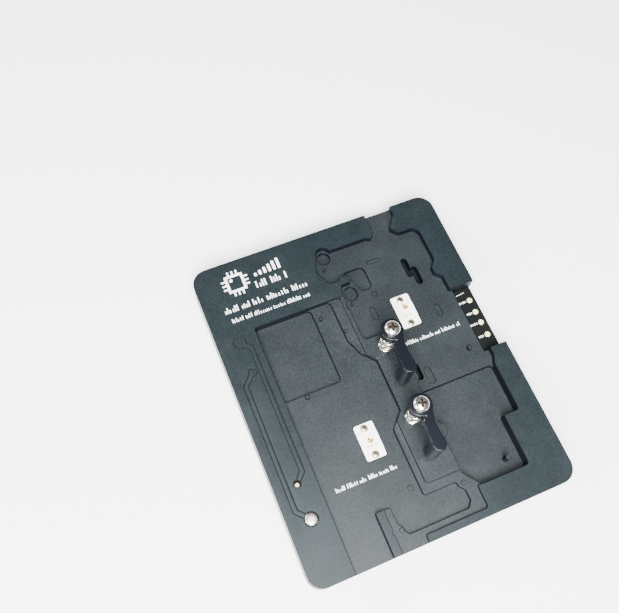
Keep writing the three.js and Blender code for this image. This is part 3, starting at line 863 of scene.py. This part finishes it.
@dataclass
class Printing:
    """White marks printed on the plate: a chip sign, rising bars and rows of strokes."""

    plan: Plan
    thickness: float = 0.03
    bars: list[bpy.types.Object] = field(default_factory=list)

    def bar(self, x: float, y: float, width: float, length: float, level: Level = Level.RIM) -> None:
        """Print one bar with round corners, centred on a plan position."""
        corner = min(width, length) * 0.32
        piece = slab(self.plan.at(x, y, 0.005 - level.value), width, length, self.thickness, corner)
        self.bars.append(piece)

    def dashes(self, left: float, right: float, y: float, height: float, seed: int, level: Level) -> None:
        """Fill a row with short upright strokes, grouped and standing on one line.

        Args:
            left: Start of the row on the plan.
            right: End of the row.
            y: Middle line of the row.
            height: Height of a tall stroke.
            seed: Seed of the row's own order of heights.
            level: The floor that the row is printed on.
        """
        order = random.Random(seed)
        thick = height * 0.2
        x = left + thick / 2
        while x < right:
            for _ in range(order.choice((4, 6, 9))):
                tall = height * order.choice((0.55, 0.75, 1.0))
                self.bar(x, y - (height - tall) / 2, thick, tall, level)
                x += height * order.choice((0.36, 0.36, 0.5))
                if x >= right:
                    break
            x += height * 0.4

    def chip_sign(self, x: float, y: float, size: float) -> None:
        """Print a square chip outline with three pins on each side and a dot."""
        line = size * 0.1
        half = size * 0.32
        for sign in (-1, 1):
            self.bar(x + sign * half, y, line, 2 * half + line)
            self.bar(x, y + sign * half, 2 * half - line, line)
            for place in (-1, 0, 1):
                self.bar(x + sign * size * 0.45, y + place * size * 0.17, size * 0.17, line * 0.7)
                self.bar(x + place * size * 0.17, y + sign * size * 0.45, line * 0.7, size * 0.17)
        self.bar(x - half * 0.45, y + half * 0.45, size * 0.12, size * 0.12)

    def rising_bars(self, left: float, base: float, step: float, height: float, count: int) -> None:
        """Print a row of bars that rise to the right."""
        for index in range(count):
            tall = height * (index + 2) / (count + 1)
            self.bar(left + step * (index + 0.5), base + tall / 2, step * 0.55, tall)

    def build(self) -> None:
        """Make every mark and hand the printing over."""
        self.chip_sign(18.3, 134.5, 11.6)
        self.rising_bars(27.0, 134.4, 2.3, 5.4, 6)
        self.dashes(26.5, 41.5, 130.4, 3.4, 3, Level.RIM)
        self.dashes(9.0, 48.5, 122.9, 2.9, 7, Level.RIM)
        self.dashes(10.5, 47.0, 117.5, 2.1, 11, Level.RIM)
        self.dashes(78.0, 105.5, 80.6, 1.9, 5, Level.RIGHT_FLOOR)
        self.dashes(24.0, 51.5, 33.0, 1.9, 9, Level.LEFT_FLOOR)
        marks = settle(join(self.bars), "plate_printing", WHITE_INK)
        hand_over(marks, Body.BASE.value, "white_plastic")


@dataclass
class Board:
    """The circuit board with its test pads and the white marks beside them."""

    plan: Plan

    def build(self) -> None:
        """Make the board, pads and marks."""
        board = refined("circuit_board", BOARD_MASK, 0.1, walls=BOARD_EDGE)
        hand_over(board, Body.BASE.value, "board_black", "circuit_board")
        self.pads()
        self.marks()

    def pads(self) -> None:
        """Make the pads, which dome slightly with their solder."""
        pad = Upright.of("test_pad_1")
        radius, height = pad.radius, pad.height
        profile = [(0.0, 0.0), (radius, 0.0), (radius, height * 0.35), (radius * 0.94, height * 0.6)]
        profile += dome(radius * 0.86, height * 0.25, height * 0.75, 5)
        piece = settle(turned(profile, pad.base), "test_pad", PAD_GOLD)
        hand_over_copies(piece, {f"test_pad_{number}": Body.BASE.value for number in range(1, 5)}, "gold")

    def marks(self) -> None:
        """Print a short row of strokes beside each pad and one dashed line above them."""
        bars = []
        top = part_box("circuit_board")[1].z
        for number in range(1, 5):
            low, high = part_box(f"test_pad_{number}")
            y = (low.y + high.y) / 2
            for index in range(3 + number % 2):
                place = Vector((low.x - (1.0 + index * 0.95) * MM, y, top))
                bars.append(slab(place, 0.55, 1.1 if index % 2 else 0.8, 0.02, 0.15))
        for index in range(4):
            place = self.plan.at(112.4 + index * 1.1, 94.2 + index * 0.1)
            place.z = top
            bars.append(slab(place, 0.8, 0.28, 0.02, 0.1))
        marks = settle(join(bars), "board_printing", WHITE_INK)
        hand_over(marks, Body.BASE.value, "white_plastic")


@dataclass
class CrossHeadScrew:
    """A pan-head screw with a cross recess, and a rolled thread where it shows.

    Args:
        bodies: The body of each frame node that it replaces, by the node's name.
        finish: Its plating.
        slot: The record's slot for it; not used.
        head_height: Height of the head in millimetres.
        shank_radius: Radius of the shank in millimetres.
        recess: Half length of the cross recess in millimetres.
        upwards: True if the head is on top.
        pitch: Thread pitch in millimetres, or 0 for a plain shank.
    """

    bodies: dict[str, str]
    finish: Finish
    slot: str
    head_height: float
    shank_radius: float
    recess: float
    upwards: bool = True
    pitch: float = 0.0

    def build(self) -> None:
        """Make the screw and hand it over, with a copy for every node."""
        room = Upright.of(next(iter(self.bodies)))
        head_radius, length, base = room.radius, room.height, room.base
        seat = length - self.head_height
        shank = self.shank_radius
        crown = [(head_radius, seat + self.head_height * 0.35)]
        crown += [
            (head_radius * math.cos(angle) ** 0.7, seat + self.head_height * (0.35 + 0.65 * math.sin(angle)))
            for angle in (step / 8 * math.pi / 2 for step in range(1, 8))
        ]
        profile = [(0.0, 0.0), (shank * 0.7, 0.0), (shank * 0.92, shank * 0.25), (shank * 0.92, seat)]
        profile += [(head_radius * 0.97, seat), (head_radius, seat + 0.08), *crown, (0.0, length)]
        screw = cover(turned(profile, base), self.finish)
        self.recess_head(screw, base, length)
        if self.pitch:
            screw = join([screw, cover(self.thread(base, seat), self.finish)])
        if not self.upwards:
            self.turn_over(screw, base + Vector((0, 0, length / 2 * MM)))
        hand_over_copies(settle(screw, "screw"), self.bodies, self.slot)

    def recess_head(self, screw: bpy.types.Object, base: Vector, length: float) -> None:
        """Cut the cross recess, which tapers to its bottom, with its faces in painted shadow."""
        depth = self.head_height * 0.55
        reach = self.recess
        for angle in (0.0, math.pi / 2):
            blade = slab(base + Vector((0, 0, (length - depth) * MM)), reach * 1.3, reach * 0.34, depth + 1.0)
            with editing(blade, "DESELECT"):
                pick_faces(blade, lambda face: face.normal.z > 0.5)
                bpy.ops.transform.resize(value=(1.7, 1.5, 1.0), center_override=base)
            with editing(blade):
                bpy.ops.transform.rotate(value=angle + 0.3, orient_axis="Z", center_override=base)
            cut_out(screw, cover(blade, RECESS_SHADOW))

    def thread(self, base: Vector, seat: float) -> bpy.types.Object:
        """Make the rolled thread as a helical zig-zag wound round the shank."""
        half = self.pitch / 2
        teeth = int((seat - 0.6) / half) // 2 * 2 - 2
        root, crest = self.shank_radius * 0.9, self.shank_radius
        points = [
            base + Vector(((crest if index % 2 else root) * MM, 0, (0.3 + index * half) * MM))
            for index in range(teeth + 1)
        ]
        deselect()
        bpy.ops.mesh.primitive_plane_add(size=MM, location=points[0])
        ridge = bpy.context.object
        with editing(ridge):
            bpy.ops.mesh.merge(type="CENTER")
            for start, end in zip(points, points[1:]):
                bpy.ops.mesh.extrude_vertices_move(TRANSFORM_OT_translate={"value": end - start})
        focus(ridge)
        bpy.context.scene.cursor.location = base
        bpy.ops.object.origin_set(type="ORIGIN_CURSOR")
        rise = self.pitch * MM
        apply_modifier(ridge, "SCREW", angle=FULL_TURN, screw_offset=rise, steps=32, render_steps=32)
        bpy.context.scene.cursor.location = (0, 0, 0)
        with editing(ridge):
            bpy.ops.mesh.remove_doubles(threshold=TINY)
            bpy.ops.mesh.select_all(action="DESELECT")
            bpy.ops.mesh.select_non_manifold(extend=False)
            bpy.ops.mesh.edge_face_add()
            bpy.ops.mesh.select_all(action="SELECT")
            bpy.ops.mesh.normals_make_consistent(inside=False)
        return ridge

    def turn_over(self, screw: bpy.types.Object, centre: Vector) -> None:
        """Turn the screw so that its head is underneath."""
        with editing(screw):
            bpy.ops.transform.rotate(value=math.pi, orient_axis="X", center_override=centre)


@dataclass
class Clamps:
    """Two swing clamps, each a moulded lever, a screw and the spring that lifts the lever."""

    joints: list[dict]
    sides: tuple[str, ...] = ("upper", "lower")
    wire_radius: float = 0.32
    closed_turns: float = 0.9
    open_turns: float = 5.0
    points_per_turn: int = 28
    grain: float = 0.32

    def bodies(self, node: str, body: str) -> dict[str, str]:
        """Give each side's node with the body that it rides on."""
        return {f"{side}_clamp_{node}": f"{side}_clamp_{body}" for side in self.sides}

    def build(self) -> None:
        """Make the levers, the screws and the springs."""
        self.levers()
        CrossHeadScrew(self.bodies("screw", "bolt"), NICKEL, "nickel", 2.6, 2.45, 2.1, pitch=0.8).build()
        self.springs()

    def levers(self) -> None:
        """Melt the lever's sharp solid into a moulded one with soft edges."""
        lever = cover(copy_of(f"{self.sides[0]}_clamp_lever"), LEVER_BLACK)
        apply_modifier(lever, "REMESH", mode="VOXEL", voxel_size=self.grain * MM, adaptivity=0.0)
        apply_modifier(lever, "SMOOTH", factor=0.5, iterations=7)
        apply_modifier(lever, "SUBSURF", levels=1, render_levels=1)
        hand_over_copies(settle(lever, "lever"), self.bodies("lever", "arm"), "black_plastic")

    def springs(self) -> None:
        """Wind the spring with closed ends between the plate and the lever's eye."""
        low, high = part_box(f"{self.sides[0]}_clamp_spring")
        centre = (low + high) / 2
        radius = (high.x - low.x) / 2 - self.wire_radius * MM
        bottom = low.z + self.wire_radius * MM
        top = high.z - self.wire_radius * MM
        closed_rise = 2.05 * self.wire_radius * MM * self.closed_turns
        turns = self.open_turns + 2 * self.closed_turns
        count = int(turns * self.points_per_turn)
        points = []
        for index in range(count + 1):
            turn = turns * index / count
            start = min(turn, self.closed_turns) / self.closed_turns * closed_rise
            end = max(0.0, turn - turns + self.closed_turns) / self.closed_turns * closed_rise
            share = min(max(turn - self.closed_turns, 0.0), self.open_turns) / self.open_turns
            height = bottom + start + end + share * (top - bottom - 2 * closed_rise)
            angle = FULL_TURN * turn
            x = centre.x + radius * math.cos(angle)
            y = centre.y + radius * math.sin(angle)
            points.append(Vector((x, y, height)))
        spring = settle(wire(points, self.wire_radius, 3), "spring", NICKEL)
        length = high.z - low.z
        pieces = hand_over_copies(spring, self.bodies("spring", "carrier"), "nickel")
        for piece, side in zip(pieces, self.sides):
            press = f"{side}_clamp_press"
            travel = next(joint for joint in self.joints if joint["name"] == press)["range_m"][1]
            1 - travel / length
            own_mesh(piece)


@dataclass
class ProbeBlock:
    """A white block that holds spring pins against the phone board.

    Args:
        side: Which block, as its nodes are named.
    """

    side: str

    def build(self) -> None:
        """Make the block with its plunger, barrel and fine pins."""
        # The block's upright walls take the painted-shade tan.
        block = refined(f"{self.side}_probe_block", WHITE_PLASTIC, 0.1, 2, NYLON_WALL_SHADE)
        hand_over(block, Body.BASE.value, "white_plastic", f"{self.side}_probe_block")
        barrel = refined(f"{self.side}_probe_barrel", GOLD, 0.06)
        hand_over(barrel, Body.BASE.value, "gold", f"{self.side}_probe_barrel")
        self.plunger()
        self.fine_pins()

    def plunger(self) -> None:
        """Turn the plunger with a cupped, ringed tip."""
        node = f"{self.side}_probe_plunger"
        room = Upright.of(node)
        radius, length = room.radius, room.height
        profile = [(0.0, 0.0), (radius * 0.9, 0.0), (radius, 0.1), (radius, length - 0.32)]
        profile += [(radius * 0.93, length - 0.12), (radius * 0.8, length), (radius * 0.66, length - 0.04)]
        profile += [(radius * 0.56, length - 0.34), (radius * 0.4, length - 0.38)]
        profile += [(radius * 0.3, length - 0.16)]
        profile += [(radius * 0.16, length - 0.08), (0.0, length - 0.07)]
        piece = settle(turned(profile, room.base), f"{node}_finished", GOLD)
        hand_over(piece, f"{self.side}_plunger", "gold", node)

    def fine_pins(self) -> None:
        """Turn the fine pins with their rounded tips."""
        nodes = [f"{self.side}_fine_pin_{number}" for number in (1, 2, 3)]
        room = Upright.of(nodes[0])
        radius = room.radius
        profile = [(0.0, 0.0), (radius, 0.0), *dome(radius, radius, room.height - radius, 6)]
        piece = settle(turned(profile, room.base, 20), "fine_pin", GOLD)
        hand_over_copies(piece, dict.fromkeys(nodes, Body.BASE.value), "gold")


@dataclass
class Controls:
    """The push button over its switch, and the status lamp in its hole."""

    flange_width: float = 1.0

    def build(self) -> None:
        """Make the button, the switch and the lamp."""
        self.button()
        self.lamp()
        switch = refined("switch_body", SWITCH_PLASTIC, 0.12)
        hand_over(switch, Body.BASE.value, "chip_epoxy", "switch_body")
        stem = refined("switch_plunger", SWITCH_PLASTIC, 0.12)
        hand_over(stem, Body.BUTTON.value, "black_plastic", "switch_plunger")

    def button(self) -> None:
        """Turn the cap with its flange and crowned top."""
        room = Upright.of("button_cap")
        flange, length = room.radius, room.height
        radius = flange - self.flange_width
        profile = [(0.0, 0.0), (flange - 0.15, 0.0), (flange, 0.15), (flange, 0.65), (flange - 0.15, 0.8)]
        profile += [(radius + 0.1, 0.8), (radius, 0.95), (radius, length - 0.62)]
        profile += [(radius - 0.06, length - 0.48), (radius - 0.22, length - 0.4)]
        profile += [(radius - 0.5, length - 0.16), *dome(radius - 0.8, 0.12, length - 0.12, 6)]
        grey = (0.42, 0.41, 0.37)
        centre = tuple(room.base)
        metal = TurnedMetal("button_nickel", grey, 1.0, 0.36, 0.2, 0.004, centre=centre, ring_mm=0.5)
        piece = settle(turned(profile, room.base, 64), "button_cap_finished", metal)
        hand_over(piece, Body.BUTTON.value, "nickel", "button_cap")

    def lamp(self) -> None:
        """Turn the lamp's resin body with its domed end and base ring."""
        room = Upright.of("status_led")
        radius = room.radius
        body = radius * 0.93
        profile = [(0.0, 0.0), (radius, 0.0), (radius, 0.8), (body, 0.9)]
        profile += dome(body, body, room.height - body, 10)
        piece = settle(turned(profile, room.base), "status_led_finished", LAMP_RESIN)
        hand_over(piece, Body.BASE.value, "led_lens", "status_led")


@dataclass
class Underside:
    """The bottom cover, its screws, the feet, and what is soldered under the board."""

    epoxy_parts: tuple[str, ...] = (
        "microcontroller",
        "memory_chip",
        "voltage_regulator",
        "crystal",
        "inductor",
        "capacitor_input",
        "capacitor_output",
    )

    def build(self) -> None:
        """Make every piece of the underside."""
        cover = refined("bottom_cover", COVER_PLASTIC, 0.3, 3)
        hand_over(cover, Body.BASE.value, "cover_plastic", "bottom_cover")
        screws = {f"cover_screw_{number}": Body.BASE.value for number in range(1, 7)}
        CrossHeadScrew(screws, ZINC, "screw_steel", 1.3, 1.25, 1.3, upwards=False).build()
        self.feet()
        for node in self.epoxy_parts:
            piece = refined(node, CHIP_EPOXY, 0.1)
            hand_over(piece, Body.BASE.value, "chip_epoxy", node)
        shell = refined("usb_socket_shell", NICKEL, 0.05)
        hand_over(shell, Body.BASE.value, "nickel", "usb_socket_shell")
        tongue = refined("usb_socket_tongue", SWITCH_PLASTIC, 0.05)
        hand_over(tongue, Body.BASE.value, "black_plastic", "usb_socket_tongue")

    def feet(self) -> None:
        """Turn the feet with their dished soles."""
        room = Upright.of("rubber_foot_1")
        radius, height = room.radius, room.height
        profile = [(0.0, 0.2), (radius - 1.8, 0.2), (radius - 1.4, 0.0), (radius - 0.7, 0.0)]
        profile += [(radius - 0.25, 0.12), (radius, 0.45), (radius, height - 0.05), (radius - 0.05, height)]
        profile += [(0.0, height)]
        piece = settle(turned(profile, room.base), "rubber_foot", RUBBER)
        feet = {f"rubber_foot_{number}": Body.BASE.value for number in range(1, 5)}
        hand_over_copies(piece, feet, "foot_rubber")


@dataclass
class Studio:
    """Pale floor, soft lights and the camera.

    Args:
        plan: The plate's places.
        camera_place: The camera's place on the plan, in millimetres.
        forward: The way it looks.
        up: The way its top points.
        lens: Its focal length in millimetres.
        sensor: Its sensor's width in millimetres.
        room_colour: Colour of the light from all round.
        room_strength: Strength of that light.
        softboxes: Name, place and size in metres, and power in watts of each soft light.
    """

    plan: Plan
    camera_place: tuple[float, float, float] = (-19.7, -4.4, 311.2)
    forward: tuple[float, float, float] = (0.1910, 0.3431, -0.9197)
    up: tuple[float, float, float] = (0.3367, 0.8572, 0.3897)
    lens: float = 44.03
    sensor: float = 36.0
    room_colour: tuple[float, float, float, float] = (0.93, 0.96, 1.0, 1.0)
    room_strength: float = 0.34
    softboxes: tuple[tuple[str, tuple[float, float, float], float, float], ...] = (
        ("overhead_softbox", (-0.20, -0.42, 0.72), 0.42, 46.0),
        ("rear_softbox", (-0.9, 0.9, 0.6), 0.5, 16.0),
        ("front_softbox", (-0.04, -0.13, 0.85), 0.34, 7.0),
        ("side_softbox", (-1.0, -0.1, 0.55), 0.4, 16.0),
    )

    def build(self) -> None:
        """Set up the floor, lights, world and camera."""
        self.floor()
        self.world()
        for name, place, size, power in self.softboxes:
            self.softbox(name, place, size, power)
        self.camera()

    def floor(self) -> None:
        """Lay a wide floor under the feet."""
        deselect()
        bpy.ops.mesh.primitive_grid_add(x_subdivisions=8, y_subdivisions=8, size=6.0)
        floor = bpy.context.object
        floor.name = "studio_floor"
        floor.data.materials.append(STUDIO_FLOOR.material())

    def world(self) -> None:
        """Fill the room with soft white light."""
        world = bpy.data.worlds.new("studio")
        world.use_nodes = True
        background = world.node_tree.nodes["Background"]
        background.inputs["Color"].default_value = self.room_colour
        background.inputs["Strength"].default_value = self.room_strength
        bpy.context.scene.world = world

    def softbox(self, name: str, place: tuple[float, float, float], size: float, power: float) -> None:
        """Hang a square soft light that faces the plate."""
        deselect()
        bpy.ops.object.light_add(type="AREA", location=place)
        light = bpy.context.object
        light.name = name
        light.data.size = size
        light.data.energy = power
        light.rotation_euler = (-Vector(place)).to_track_quat("-Z", "Y").to_euler()

    def camera(self) -> None:
        """Place the camera high above the plate's front left corner."""
        forward = Vector(self.forward).normalized()
        right = forward.cross(Vector(self.up)).normalized()
        up = right.cross(forward)
        turn = Matrix((right, up, -forward)).transposed().to_4x4()
        deselect()
        bpy.ops.object.camera_add()
        camera = bpy.context.object
        camera.name = "camera"
        camera.matrix_world = Matrix.Translation(self.plan.at(*self.camera_place)) @ turn
        camera.data.lens = self.lens
        camera.data.sensor_width = self.sensor
        camera.data.dof.use_dof = False
        bpy.context.scene.camera = camera


def main() -> None:
    """Build every sub-assembly round the frame."""
    logging.basicConfig(level=logging.INFO, format="%(message)s")
    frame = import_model()
    plan = Plan.from_frame()
    Studio(plan).build()
    FixturePlate(plan).build()
    Printing(plan).build()
    Board(plan).build()
    for side in ("left", "right"):
        ProbeBlock(side).build()
    names = [f"{side}_probe_screw_{number}" for side in ("left", "right") for number in (1, 2)]
    block_screws = dict.fromkeys(names, Body.BASE.value)
    CrossHeadScrew(block_screws, BRONZED_NICKEL, "nickel", 0.85, 0.75, 0.95).build()
    Clamps(frame["joints"]).build()
    Controls().build()
    Underside().build()
    deselect()


if __name__ == "__main__":
    main()
